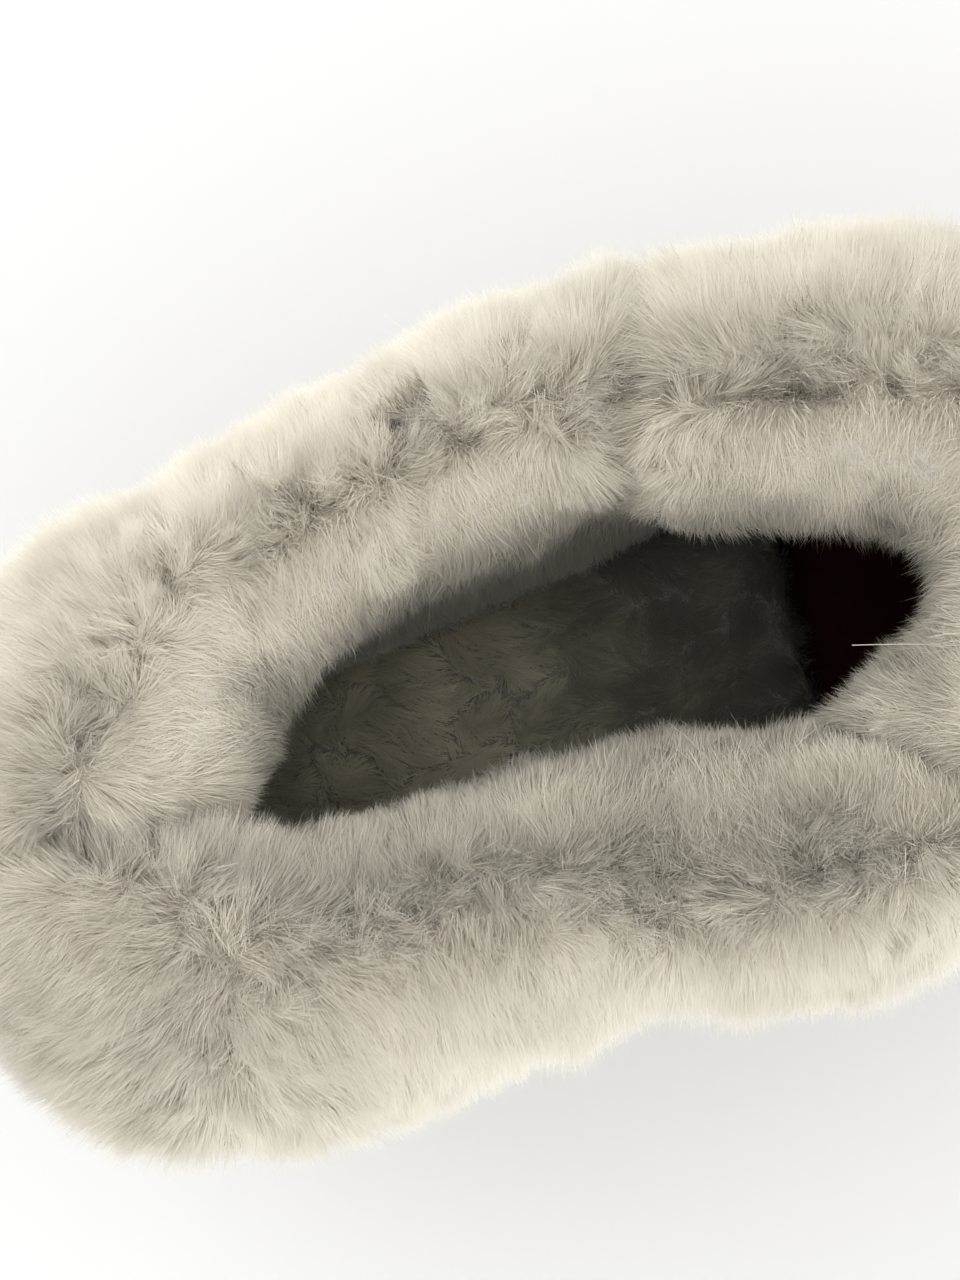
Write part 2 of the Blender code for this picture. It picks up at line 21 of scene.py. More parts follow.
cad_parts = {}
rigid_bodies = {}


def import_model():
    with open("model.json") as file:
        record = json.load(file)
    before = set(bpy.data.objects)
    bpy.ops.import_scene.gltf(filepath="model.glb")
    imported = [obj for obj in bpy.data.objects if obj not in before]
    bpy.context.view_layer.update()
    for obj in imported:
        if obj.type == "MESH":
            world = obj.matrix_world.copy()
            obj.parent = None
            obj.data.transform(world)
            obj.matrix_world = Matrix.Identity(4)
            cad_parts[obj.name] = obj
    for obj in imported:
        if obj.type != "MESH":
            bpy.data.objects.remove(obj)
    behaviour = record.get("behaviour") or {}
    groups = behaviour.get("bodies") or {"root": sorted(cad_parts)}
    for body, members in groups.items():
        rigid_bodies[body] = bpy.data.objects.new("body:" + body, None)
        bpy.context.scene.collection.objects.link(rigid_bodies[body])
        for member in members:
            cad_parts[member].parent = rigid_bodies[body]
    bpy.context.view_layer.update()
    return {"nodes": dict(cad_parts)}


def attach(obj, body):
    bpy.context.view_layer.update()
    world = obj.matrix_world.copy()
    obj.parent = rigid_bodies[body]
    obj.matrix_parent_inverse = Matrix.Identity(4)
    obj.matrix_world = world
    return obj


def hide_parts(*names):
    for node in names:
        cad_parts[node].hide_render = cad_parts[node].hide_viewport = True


bl_info = {
    "name": "Fur-lined sneaker",
    "version": (1, 0, 0),
    "blender": (4, 5, 0),
    "location": "View3D > Sidebar > Sneaker",
    "description": "Builds the looks of a fur-lined sneaker around its packed model",
    "category": "Object",
}

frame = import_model()
NODES = frame["nodes"]
BODY = "root"

CUFF_NODES = ("fur_lateral", "fur_medial", "fur_vamp")
FUR_NODES = CUFF_NODES + ("fur_insole",)
RIGID_NODES = ("upper", "midsole", "insole")

# The foot's middle line on plan, from the heel to the ball
AXIS_HEEL = 0.004
AXIS_TOE = 0.195
AXIS_HEIGHT = 0.028
OPENING_TOE = 0.085

# The cuff's parting on plan, once round from the heel by the outer side and the vamp
PARTING = [
    (-0.024, -0.003), (-0.021, 0.010), (-0.014, 0.023), (-0.003, 0.033), (0.012, 0.035),
    (0.024, 0.035), (0.037, 0.040), (0.051, 0.040), (0.063, 0.034), (0.079, 0.030),
    (0.091, 0.027), (0.104, 0.025), (0.113, 0.018), (0.120, 0.004), (0.121, -0.012),
    (0.116, -0.027), (0.103, -0.038), (0.087, -0.044), (0.074, -0.043), (0.058, -0.039),
    (0.046, -0.036), (0.035, -0.028), (0.013, -0.025), (-0.002, -0.023), (-0.010, -0.016),
    (-0.016, -0.009),
]
# A short parting that runs back over the inner side's heel lobe
HEEL_PARTING = [(-0.010, -0.016), (-0.011, -0.024), (-0.013, -0.034), (-0.017, -0.045)]
PARTING_STEP = 0.002
PARTING_BLEND = 0.009
# The middle of the cuff's roll lies this far under its crest
ROLL_DEPTH = 0.014
# Where the skin lies deeper or, below zero, less deep: a line on plan, its reach and the depth
RELIEF = [
    # The lobes' own outlines
    ((-0.030, 0.038), (0.000, 0.050), 0.014, 0.003), ((0.000, 0.050), (0.026, 0.054), 0.012, 0.0028),
    ((0.100, 0.054), (0.128, 0.044), 0.014, 0.003), ((0.062, -0.052), (0.078, -0.058), 0.013, -0.006),
    ((0.078, -0.058), (0.105, -0.060), 0.016, -0.0076), ((-0.045, -0.034), (-0.030, -0.043), 0.010, 0.001),
    ((0.018, -0.012), (0.066, -0.018), 0.010, -0.002),
    ((0.069, 0.040), (0.080, 0.060), 0.0075, -0.0024),
    # Creases between the lobes
    ((0.062, 0.034), (0.072, 0.035), 0.0055, 0.0024), ((0.072, 0.035), (0.091, 0.027), 0.0055, 0.0022),
    ((0.091, 0.027), (0.112, 0.019), 0.0055, 0.0018), ((0.062, 0.034), (0.060, 0.020), 0.006, 0.003),
    ((0.018, 0.036), (0.011, 0.024), 0.007, 0.0026), ((0.000, -0.004), (-0.030, -0.004), 0.006, 0.0026),
    ((-0.009, -0.016), (-0.001, -0.023), 0.007, 0.0014), ((-0.001, -0.023), (0.035, -0.026), 0.007, 0.0012),
    ((0.068, -0.014), (0.074, -0.036), 0.006, 0.0022), ((0.038, -0.032), (0.087, -0.045), 0.006, 0.0014),
]
# Single long hairs that stand out of the vamp's fur: both ends, with their heights
LONG_HAIRS = [
    ((0.083, -0.0125, 0.106), (0.0945, -0.0175, 0.111)),
    ((0.080, -0.041, 0.104), (0.0765, -0.0475, 0.108)),
]
# Free room that a hair needs over its root, under the rigid pieces and under the next pelt
RIGID_ROOM = 0.0040
PELT_ROOM = 0.0012
# The hair's tufts and broad swirls, its bend, its extra tilt at the mouth and the insole's flow
TUFT_SIZE = 0.0052
SWIRL_SIZE = 0.018
BEND = math.radians(14)
MOUTH_TILT = math.radians(12)
INSOLE_FLOW = (-0.5, 0.1, 0.0)

Strands = namedtuple("Strands", "root middle tip across width tone normal curved")
Zones = namedtuple("Zones", "crease inner near deep mouth outer_side")


def smoothstep(low, high, value):
    share = np.clip((value - low) / (high - low), 0.0, 1.0)
    return share * share * (3 - 2 * share)


def unit(vectors):
    return vectors / np.maximum(np.linalg.norm(vectors, axis=-1, keepdims=True), 1e-12)


def along(vectors, others):
    return np.sum(vectors * others, axis=-1, keepdims=True)


def waves(points, wavelength, seed, channels=1):
    """Soft noise from -1 to 1 with a main wavelength, one column for each channel."""
    rng = np.random.default_rng(seed)
    total = np.zeros((len(points), channels))
    for channel in range(channels):
        for _ in range(5):
            direction = unit(rng.normal(size=3))
            turns = 2 * math.pi / (wavelength * rng.uniform(0.7, 1.5))
            total[:, channel] += np.sin(points @ direction * turns + rng.uniform(0, 6.28))
    return total / 2.6


# Meshes and pieces


def linked(name, mesh):
    obj = bpy.data.objects.new(name, mesh)
    bpy.context.scene.collection.objects.link(obj)
    return obj


@contextmanager
def edited(mesh, source=None):
    """Opens a mesh, or the source in its place, for bmesh operators and writes it to the mesh."""
    bm = bmesh.new()
    bm.from_mesh(source or mesh)
    yield bm
    bm.to_mesh(mesh)
    bm.free()


def merged_copy(node, name):
    """A copy of a CAD node's mesh as one closed skin, as a new object."""
    mesh = bpy.data.meshes.new(name)
    with edited(mesh, NODES[node].data) as bm:
        bmesh.ops.remove_doubles(bm, verts=bm.verts, dist=1e-5)
    return linked(name, mesh)


def quad_copy(node, name):
    """A copy of a CAD node whose triangles are paired back into quads."""
    obj = merged_copy(node, name)
    with edited(obj.data) as bm:
        bmesh.ops.join_triangles(
            bm,
            faces=bm.faces,
            angle_face_threshold=math.radians(35),
            angle_shape_threshold=math.radians(80),
        )
    return obj


def crease_folds(bm, angle, amount):
    """Keeps the edges that fold by more than an angle crisp under subdivision."""
    crease = bm.edges.layers.float.new("crease_edge")
    for edge in bm.edges:
        if edge.calc_face_angle(0.0) > angle:
            edge[crease] = amount


def relax(bm, factor):
    bmesh.ops.smooth_vert(
        bm, verts=bm.verts, factor=factor, use_axis_x=True, use_axis_y=True, use_axis_z=True
    )


def apply_modifiers(obj):
    """Writes the object's modifiers into its mesh."""
    evaluated = obj.evaluated_get(bpy.context.evaluated_depsgraph_get())
    mesh = bpy.data.meshes.new_from_object(evaluated)
    obj.modifiers.clear()
    old = obj.data
    obj.data = mesh
    bpy.data.meshes.remove(old)
    mesh.name = obj.name


def subdivide(obj):
    smooth = obj.modifiers.new("smooth", "SUBSURF")
    smooth.levels = smooth.render_levels = 2
    apply_modifiers(obj)


def wear(obj, *materials):
    obj.data.materials.clear()
    for material in materials:
        obj.data.materials.append(material)


def finish_piece(obj, materials, replaced=()):
    """Gives a piece its materials, its body and the nodes it stands for."""
    wear(obj, *materials)
    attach(obj, BODY)
    if replaced:
        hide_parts(*replaced)


def arrays_of(mesh):
    """A mesh's points, normals and triangles as arrays."""
    mesh.calc_loop_triangles()
    points = np.zeros(len(mesh.vertices) * 3)
    mesh.vertices.foreach_get("co", points)
    normals = np.zeros(len(mesh.vertices) * 3)
    mesh.vertices.foreach_get("normal", normals)
    corners = np.zeros(len(mesh.loop_triangles) * 3, dtype=np.int32)
    mesh.loop_triangles.foreach_get("vertices", corners)
    return points.reshape(-1, 3), normals.reshape(-1, 3), corners.reshape(-1, 3)


def tree_of(meshes):
    """One search tree over several meshes."""
    points, corners, count = [], [], 0
    for mesh in meshes:
        own_points, _, own_corners = arrays_of(mesh)
        points.append(own_points)
        corners.append(own_corners + count)
        count += len(own_points)
    return BVHTree.FromPolygons(np.concatenate(points).tolist(), np.concatenate(corners).tolist())


def joined_copies(name, template, places):
    """One mesh of many turned copies of a small template mesh."""
    points, _, _ = arrays_of(template)
    faces = [list(polygon.vertices) for polygon in template.polygons]
    all_points, all_faces = [], []
    for index, place in enumerate(places):
        turned = points @ np.array(place.to_3x3()).T + np.array(place.translation)
        all_points.extend(turned.tolist())
        all_faces.extend([[index * len(points) + corner for corner in face] for face in faces])
    mesh = bpy.data.meshes.new(name)
    mesh.from_pydata(all_points, [], all_faces)
    mesh.shade_smooth()
    return linked(name, mesh)


# Materials


class Nodes:
    """A material's node tree, with short ways to add what the finishes need."""

    def __init__(self, name):
        self.material = bpy.data.materials.new(name)
        self.material.use_nodes = True
        self.tree = self.material.node_tree
        self.shader = self.tree.nodes["Principled BSDF"]

    def feed(self, socket, value):
        """Links an input to another node's output, or sets it to a plain value."""
        if isinstance(value, bpy.types.NodeSocket):
            self.tree.links.new(value, socket)
        else:
            socket.default_value = value

    def feed_named(self, node, inputs):
        for key, value in inputs.items():
            self.feed(node.inputs[key.replace("_", " ")], value)
        return node

    def add(self, kind, **inputs):
        return self.feed_named(self.tree.nodes.new(kind), inputs)

    def place(self):
        return self.add("ShaderNodeTexCoord").outputs["Object"]

    def noise(self, scale, detail, roughness, place=None):
        node = self.add("ShaderNodeTexNoise", Scale=scale, Detail=detail, Roughness=roughness)
        self.feed(node.inputs["Vector"], place or self.place())
        return node.outputs["Fac"]

    def cell_edges(self, scale, randomness, place):
        node = self.add("ShaderNodeTexVoronoi", Scale=scale, Randomness=randomness, Vector=place)
        node.feature = "DISTANCE_TO_EDGE"
        return node.outputs["Distance"]

    def ramp(self, value, *stops):
        node = self.add("ShaderNodeValToRGB", Fac=value)
        elements = node.color_ramp.elements
        while len(elements) < len(stops):
            elements.new(0.5)
        for element, (position, colour) in zip(elements, stops):
            element.position = position
            element.color = (*colour, 1.0)
        return node.outputs["Color"]

    def math(self, operation, *values):
        node = self.add("ShaderNodeMath")
        node.operation = operation
        for socket, value in zip(node.inputs, values):
            self.feed(socket, value)
        return node.outputs["Value"]

    def multiplied(self, first, second, share=1.0):
        node = self.add("ShaderNodeMix")
        node.data_type = "RGBA"
        node.blend_type = "MULTIPLY"
        for index, value in ((0, share), (6, first), (7, second)):
            self.feed(node.inputs[index], value)
        return node.outputs[2]

    def bump(self, height, distance, strength, below=None):
        node = self.add("ShaderNodeBump", Strength=strength, Distance=distance, Height=height)
        if below:
            self.feed(node.inputs["Normal"], below)
        return node.outputs["Normal"]

    def set(self, **values):
        self.feed_named(self.shader, values)
        return self.material


def shaded(colour, share):
    return tuple(channel * share for channel in colour)


def underfur_finish(name, colours, share=1.0):
    """Dense underfur at the roots, seen in the partings. A share below 1 darkens all of it as painted
    shade.
    """
    look = Nodes(name)
    tuft = look.noise(420.0, 5.0, 0.65)
    colour = look.ramp(
        tuft, (0.30, shaded(colours.fur_root, 0.80 * share)), (0.55, shaded(colours.fur_root, share)),
        (0.75, shaded(colours.fur_tip, share)),
    )
    normal = look.bump(look.noise(1400.0, 4.0, 0.7), 0.0006, 0.9, look.bump(tuft, 0.0015, 0.8))
    return look.set(
        Base_Color=colour, Roughness=0.95, Normal=normal, Sheen_Weight=0.25, Sheen_Roughness=0.5,
        Specular_IOR_Level=0.15,
    )


def hair_finish(name, colours, warmth, painted_shade_share=1.0):
    """Single hairs. Along V the colour runs from root to tip, across U from the darker hairs,
    which are dark by their own tone and by painted shade, to the paler ones."""
    look = Nodes(name)
    chart = look.add("ShaderNodeUVMap")
    chart.uv_map = "OFBake"
    split = look.add("ShaderNodeSeparateXYZ", Vector=chart.outputs["UV"])
    length = look.ramp(
        split.outputs["Y"],
        (0.0, tuple(colours.fur_root)),
        (0.45, tuple((a + b) / 2 for a, b in zip(colours.fur_root, colours.fur_tip))),
        (0.85, tuple(colours.fur_tip)),
    )
    # The dark end, times painted_shade_share, carries the painted shade of deep and shaded hair.
    tone = look.ramp(split.outputs["X"], (0.0, shaded(colours.fur_dark_and_painted_shade, painted_shade_share)), (1.0, warmth))
    return look.set(
        Base_Color=look.multiplied(length, tone), Roughness=0.75, Sheen_Weight=0.2,
        Sheen_Roughness=0.45, Specular_IOR_Level=0.25,
    )


def leather_finish(colours):
    """Smooth oxblood leather with a fine grain and a soft polish."""
    look = Nodes("oxblood_leather")
    place = look.place()
    patches = look.noise(28.0, 4.0, 0.6, place)
    pores = look.cell_edges(1150.0, 0.9, place)
    wrinkle = look.noise(260.0, 6.0, 0.62, place)
    leather = tuple(colours.leather)
    colour = look.ramp(
        patches, (0.28, shaded(leather, 0.78)), (0.52, leather), (0.76, shaded(leather, 1.22))
    )
    in_pores = look.ramp(pores, (0.0, (0.45, 0.40, 0.40)), (0.12, (1.0, 1.0, 1.0)))
    colour = look.multiplied(colour, in_pores, 0.55)
    roughness = look.math("MULTIPLY_ADD", wrinkle, 0.22, 0.30)
    grain = look.bump(look.math("MINIMUM", pores, 0.10), 0.0012, 0.55)
    normal = look.bump(wrinkle, 0.0010, 0.35, grain)
    return look.set(
        Base_Color=colour, Roughness=roughness, Normal=normal, Coat_Weight=0.12, Coat_Roughness=0.25,
        Specular_IOR_Level=0.38,
    )


def lining_finish(colours):
    """Very dark, smooth oxblood lining leather, darkened further as painted shade for the inside of the
    shoe.
    """
    look = Nodes("oxblood_lining")
    place = look.place()
    patches = look.noise(45.0, 4.0, 0.6, place)
    nap = look.noise(1600.0, 3.0, 0.6, place)
    lining = tuple(colours.lining)
    colour = look.ramp(patches, (0.32, shaded(lining, 0.72)), (0.70, shaded(lining, 1.25)))
    roughness = look.math("MULTIPLY_ADD", nap, 0.2, 0.52)
    return look.set(
        Base_Color=colour, Roughness=roughness, Normal=look.bump(nap, 0.0004, 0.5),
        Specular_IOR_Level=0.16,
    )


def rubber_finish(name, rubber, roughness_low, grain_scale):
    """Moulded rubber with a fine matt grain, a little darker within 12 mm of the floor."""
    look = Nodes(name)
    place = look.place()
    clouds = look.noise(35.0, 5.0, 0.6, place)
    grain = look.noise(grain_scale, 3.0, 0.6, place)
    colour = look.ramp(clouds, (0.30, shaded(rubber, 0.88)), (0.55, rubber), (0.80, shaded(rubber, 1.06)))
    height = look.add("ShaderNodeSeparateXYZ", Vector=place)
    # Darker towards the floor, over the lowest 12 mm.
    darker_near_floor = look.ramp(height.outputs["Z"], (0.0, (0.80, 0.77, 0.72)), (0.012, (1.0, 1.0, 1.0)))
    roughness = look.math("MULTIPLY_ADD", grain, 0.18, roughness_low)
    return look.set(
        Base_Color=look.multiplied(colour, darker_near_floor), Roughness=roughness,
        Normal=look.bump(grain, 0.0004, 0.45), Specular_IOR_Level=0.4,
    )


def thread_finish(colours):
    """Waxed sewing thread with its twist."""
    look = Nodes("waxed_thread")
    twist = look.noise(2600.0, 2.0, 0.5)
    thread = tuple(colours.thread)
    colour = look.ramp(twist, (0.35, shaded(thread, 0.75)), (0.65, thread))
    return look.set(Base_Color=colour, Roughness=0.55, Normal=look.bump(twist, 0.0003, 0.6))


def floor_finish(colours):
    look = Nodes("studio_floor")
    cloud = look.noise(1.5, 2.0, 0.5)
    pale = tuple(colours.floor)
    return look.set(Base_Color=look.ramp(cloud, (0.3, shaded(pale, 0.985)), (0.7, pale)), Roughness=0.9)


# Pelts and hair


def relief_depth(points):
    """How much deeper the skin lies at each point, from the lines in RELIEF."""
    depth = np.zeros(len(points))
    for start, end, reach, deep in RELIEF:
        start, end = np.array(start), np.array(end)
        run = end - start
        share = np.clip((points[:, :2] - start) @ run / (run @ run), 0.0, 1.0)
        away = np.linalg.norm(points[:, :2] - (start + share[:, None] * run), axis=1)
        depth += deep * np.exp(-((away / reach) ** 2))
    return depth


def pelt_name(node):
    return node.replace("fur_", "pelt_")


def soft_pelt(node, fur, core, rigid):
    """A smoothed skin of a fur solid for hair to stand on. On the cuff it is drawn in
    towards the middle of the roll, so that the hair's tips reach the solid's own surface."""
    obj = merged_copy(node, pelt_name(node))
    skin = obj.modifiers.new("skin", "REMESH")
    skin.mode = "VOXEL"
    skin.voxel_size = fur.pelt_grain
    apply_modifiers(obj)
    with edited(obj.data) as bm:
        for _ in range(fur.pelt_smoothing):
            relax(bm, 0.5)
        if node in CUFF_NODES:
            points = np.array([vert.co for vert in bm.verts])
            for vert, step in zip(bm.verts, inward_steps(points, fur.pelt_depth, core, rigid)):
                vert.co += Vector(step)
            relax(bm, 0.4)
    obj.data.shade_smooth()
    return obj


def inward_steps(points, depth, core, rigid):
    """How the cuff's skin moves in towards the roll's middle: never upwards, not close to
    the rigid pieces, and less and less towards the hem."""
    outwards, _ = away_from(points, core)
    inwards = -outwards
    inwards[:, 2] = np.minimum(inwards[:, 2], 0.0)
    clear = np.array([rigid.find_nearest(Vector(point))[3] for point in points])
    above = points[:, 2] - core[:, 2].mean()
    depth = (depth + relief_depth(points)) * smoothstep(0.0015, 0.0075, clear)
    depth = depth * smoothstep(-0.034, -0.012, above)
    return inwards * depth[:, None]


def axis_point(points):
    """The nearest points of the foot's middle line, at the points' own height."""
    middle = points.copy()
    middle[:, 0] = np.clip(points[:, 0], AXIS_HEEL, OPENING_TOE)
    middle[:, 1] = 0.0
    return middle


def inside_polygon(points, outline):
    """Whether plan points lie inside a closed outline."""
    x, y = points[:, 0], points[:, 1]
    inside = np.zeros(len(points), dtype=bool)
    for (ax, ay), (bx, by) in zip(outline, outline[1:] + outline[:1]):
        crosses = (ay > y) != (by > y)
        rise = by - ay if by != ay else 1e-12
        inside ^= crosses & (x < (bx - ax) * (y - ay) / rise + ax)
    return inside


def resampled(outline, step, closed):
    """Points at an even step along a smooth line through the outline's own points."""
    points = np.array(outline)
    count = len(points)
    places = []
    for index in range(count if closed else count - 1):
        if closed:
            four = [points[(index + offset) % count] for offset in (-1, 0, 1, 2)]
        else:
            four = [points[min(count - 1, max(0, index + offset))] for offset in (-1, 0, 1, 2)]
        before, start, end, after = four
        steps = max(1, round(np.linalg.norm(end - start) / step))
        for part in range(steps):
            t = part / steps
            places.append(0.5 * (
                2 * start + (end - before) * t + (2 * before - 5 * start + 4 * end - after) * t**2
                + (3 * start - before - 3 * end + after) * t**3
            ))
    return np.array(places)


def parting_points(tree):
    """The partings' points, laid on the pelts from above."""
    plan = np.concatenate([
        resampled(PARTING, PARTING_STEP, True), resampled(HEEL_PARTING, PARTING_STEP, False)
    ])
    points, last = [], 0.1
    for x, y in plan:
        hit = tree.ray_cast(Vector((x, y, 0.3)), Vector((0, 0, -1)))[0]
        last = hit.z if hit and hit.z > 0.07 else last
        points.append((x, y, last))
    return np.array(points)


def away_from(points, parting):
    """Directions away from the parting's nearest stretch, and the distance to it."""
    directions, distances = [], []
    for start in range(0, len(points), 8000):
        gap = points[start:start + 8000, None, :] - parting[None, :, :]
        square = np.sum(gap * gap, axis=2)
        near = square.min(axis=1, keepdims=True)
        weight = np.exp((near - square) / (2 * PARTING_BLEND**2)) / np.sqrt(square + 1e-8)
        directions.append(np.sum(gap * weight[:, :, None], axis=1))
        distances.append(np.sqrt(near[:, 0]))
    return unit(np.concatenate(directions)), np.concatenate(distances)


def pelt_fields(obj, rigid, others, outline):
    """For each of a pelt's points: whether hair has room there, how near the next pelt is
    and where it lies, and whether the point faces the foot."""
    points, normals, corners = arrays_of(obj.data)
    upper = tree_of([NODES["upper"].data])
    inner = inside_polygon(points, outline)
    middle = axis_point(points)
    room = np.ones(len(points))
    crease = np.zeros(len(points))
    lean = np.zeros((len(points), 3))
    for index, (point, normal) in enumerate(zip(points, normals)):
        start = Vector(point + normal * 0.0004)
        under_rigid = rigid.ray_cast(start, Vector(normal), RIGID_ROOM)[0]
        if under_rigid or others.ray_cast(start, Vector(normal), PELT_ROOM)[0]:
            room[index] = 0.0
        place, _, _, nearest = others.find_nearest(start, 0.014)
        if place is not None:
            crease[index] = 1 - smoothstep(0.001, 0.007, nearest)
            lean[index] = (place - start).normalized() * float(1 - smoothstep(0.002, 0.014, nearest))
        inwards = Vector(middle[index] - point)
        if inner[index] and upper.ray_cast(Vector(point), inwards.normalized(), inwards.length)[0]:
            inner[index] = False
    return points, normals, corners, room, crease, lean, inner.astype(float)


def picked_roots(count, fields, rng):
    """Roots spread over a pelt, more of them where it faces up, with the pelt's own values
    there and its whole area."""
    points, normals, corners, room, crease, lean, inner = fields
    a, b, c = (points[corners[:, side]] for side in range(3))
    area = np.linalg.norm(np.cross(b - a, c - a), axis=1) / 2
    facing = normals[corners].mean(axis=1)
    seen = 0.60 + 0.95 * smoothstep(-0.2, 0.6, facing[:, 2])
    weight = area * (room[corners].mean(axis=1) > 0.5) * seen
    face = rng.choice(len(corners), size=count, p=weight / weight.sum())
    u, v = rng.random(count), rng.random(count)
    over = u + v > 1
    u[over], v[over] = 1 - u[over], 1 - v[over]
    share = np.stack([1 - u - v, u, v], axis=1)

    def spread(values):
        picked = values[corners[face]]
        if picked.ndim == 3:
            return np.sum(picked * share[:, :, None], axis=1)
        return np.sum(picked * share, axis=1)

    return spread(points), unit(spread(normals)), spread(crease), spread(lean), spread(inner), area.sum()


def combed(root, normal, lean, parting, leaning, rng, seed):
    """Which way the hairs lie on the skin, their distance from the parting and, from 0 to 1,
    how near they are to it. Near it they lie loose."""
    if parting is None:
        flow = np.tile(np.array([INSOLE_FLOW]), (len(root), 1))
        distance = np.full(len(root), 0.03)
    else:
        wander = waves(root, 0.014, seed + 5, 3) * 0.0030 + waves(root, 0.005, seed + 6, 3) * 0.0012
        flow, distance = away_from(root + wander, parting)
    near = 1 - smoothstep(0.0005, 0.0085, distance)
    tufts = waves(root, TUFT_SIZE, seed + 2, 3) * (0.34 + 0.65 * near)[:, None]
    swirls = waves(root, SWIRL_SIZE, seed + 1, 3) * 0.30
    flow = flow * (1 - 0.55 * near)[:, None] + tufts + swirls + lean * leaning
    flow = flow - normal * along(flow, normal)
    kept = smoothstep(0.05, 0.60, np.linalg.norm(flow, axis=1))
    loose = np.clip(1 - kept + 0.55 * near, 0.0, 0.9)[:, None]
    stray = rng.normal(size=root.shape)
    stray = unit(stray - normal * along(stray, normal))
    flow = unit(unit(flow) * (1 - loose) + stray * loose)
    flow = unit(flow + np.cross(normal, flow) * rng.normal(0, 0.42, (len(root), 1)))
    return flow, distance, near


def hair_lengths(root, zones, lowest, fur, rng, seed):
    """Lengths of the hairs, and which of them are guard hairs."""
    mouth_length = fur.mouth_length * (1 - 0.25 * zones.outer_side)
    length = fur.cuff_length - (fur.cuff_length - mouth_length) * zones.mouth
    length = length * (1 - zones.deep) + lowest * zones.deep
    length = length * (1 - 0.12 * zones.crease) * (1 + 0.12 * waves(root, 0.012, seed + 3)[:, 0])
    length = length * (1 - 0.08 * zones.near) * rng.triangular(0.50, 1.02, 1.12, len(root))
    guard = rng.random(len(root)) < fur.guard_share
    return np.where(guard, length * rng.uniform(1.15, 1.45, len(root)), length), guard


def hair_tones_with_painted_shade(root, zones, lock_tone, on_insole, rng, seed):
    """How pale each hair is, from 0 for the fur's dark end to 1, with painted shade and painted light in
    it.
    """
    patches = waves(root, 0.017, seed + 4)[:, 0]
    tone = 0.84 + 0.08 * patches + 0.05 * lock_tone + rng.normal(0, 0.055, len(root))
    if on_insole:
        tone = 0.70 + 0.16 * waves(root, 0.014, seed + 4)[:, 0] + 0.14 * lock_tone
        tone = tone + rng.normal(0, 0.07, len(root))
        # Painted shade: the insole's hair grows darker towards the toe, where the inside of the shoe lies
        # in shade.
        return tone - 0.75 * smoothstep(0.030, 0.080, root[:, 0])
    tone = tone + (0.04 + 0.14 * zones.near) * waves(root, 0.0042, seed + 7)[:, 0]
    # Painted shade: darker where two pelts meet in a crease and much darker deep inside the shoe; also a
    # little darker near the partings.
    tone = tone - 0.07 * zones.crease - 0.85 * zones.deep - 0.02 * zones.near
    sides = 1 - smoothstep(0.062, 0.082, root[:, 0])
    # Painted shade and light: hair facing the foot is darkened on the inner side and lifted on the outer
    # side behind the vamp, as the light falls.
    painted_shade_inner_side = (0.24 + 0.16 * sides) * smoothstep(0.002, 0.018, -root[:, 1])
    facing_in = zones.inner * (1 - zones.deep)
    return tone + facing_in * (0.12 * sides * zones.outer_side - painted_shade_inner_side)


def grow(count, fields, parting, fur, seed, leaning=0.2):
    """A pelt's hairs. Without a parting the pelt is the fur insole."""
    rng = np.random.default_rng(seed)
    on_insole = parting is None
    root, normal, crease, lean, inner, area = picked_roots(count, fields, rng)
    flow, distance, near = combed(root, normal, lean, parting, leaning, rng, seed)
    deep = inner * smoothstep(0.013, 0.028, distance)
    mouth = inner * smoothstep(0.002, 0.012, distance) * (1 - deep)
    zones = Zones(crease, inner, near, deep, mouth, smoothstep(-0.005, 0.012, root[:, 1]))
    lowest = fur.insole_length if on_insole else fur.lining_length
    length, guard = hair_lengths(root, zones, lowest, fur, rng, seed)

    lying = fur.lay_tilt + (fur.lining_tilt - fur.lay_tilt) * inner * smoothstep(0.003, 0.013, distance)
    lying = lying + MOUTH_TILT * mouth * zones.outer_side
    first = fur.parting_tilt + (lying - fur.parting_tilt) * smoothstep(0.0, 0.015, distance)
    first = np.clip(first + rng.normal(0, BEND, count), 0.0, math.radians(84))
    second = np.minimum(first + BEND, math.radians(88))

    def heading(angle):
        return normal * np.cos(angle)[:, None] + flow * np.sin(angle)[:, None]

    droop = np.array([[0.0, 0.0, -1.0]])
    one = unit(heading(first) + droop * (0.05 + 0.30 * mouth)[:, None])
    two = unit(heading(second) + droop * (0.12 + 0.75 * mouth - 0.1 * deep)[:, None])
    middle = root + one * (length * 0.48)[:, None]
    tip = middle + two * (length * 0.52)[:, None]

    lock_tone = np.zeros(count)
    for spacing, pull, key in (
        (fur.lock_spacing, fur.lock_pull, 11),
        (fur.wisp_spacing, fur.wisp_pull, 12),
    ):
        if on_insole:
            spacing, pull = spacing * 1.3, pull * 2.6
        pull = pull * (1 - 0.9 * guard) * (1 + 1.4 * near)
        middle, tip, tone = gather(root, middle, tip, length, spacing, pull, seed + key, area)
        lock_tone += tone * 0.5
    heading_up = unit(tip - root)
    twist = rng.normal(0, math.radians(16), (count, 1))
    base = unit(np.cross(heading_up, normal))
    across = unit(base * np.cos(twist) + np.cross(heading_up, base) * np.sin(twist))
    width = fur.hair_width * rng.uniform(0.7, 1.3, count) * (1 - 0.45 * guard)
    tone = np.clip(hair_tones_with_painted_shade(root, zones, lock_tone, on_insole, rng, seed), 0.02, 0.98)
    curved = (rng.random(count) < fur.curved_share) | guard
    soft = unit(normal * 0.9 + heading_up * 0.2 + np.cross(across, heading_up) * 0.3)
    return Strands(root, middle, tip, across, width, tone, soft, curved)


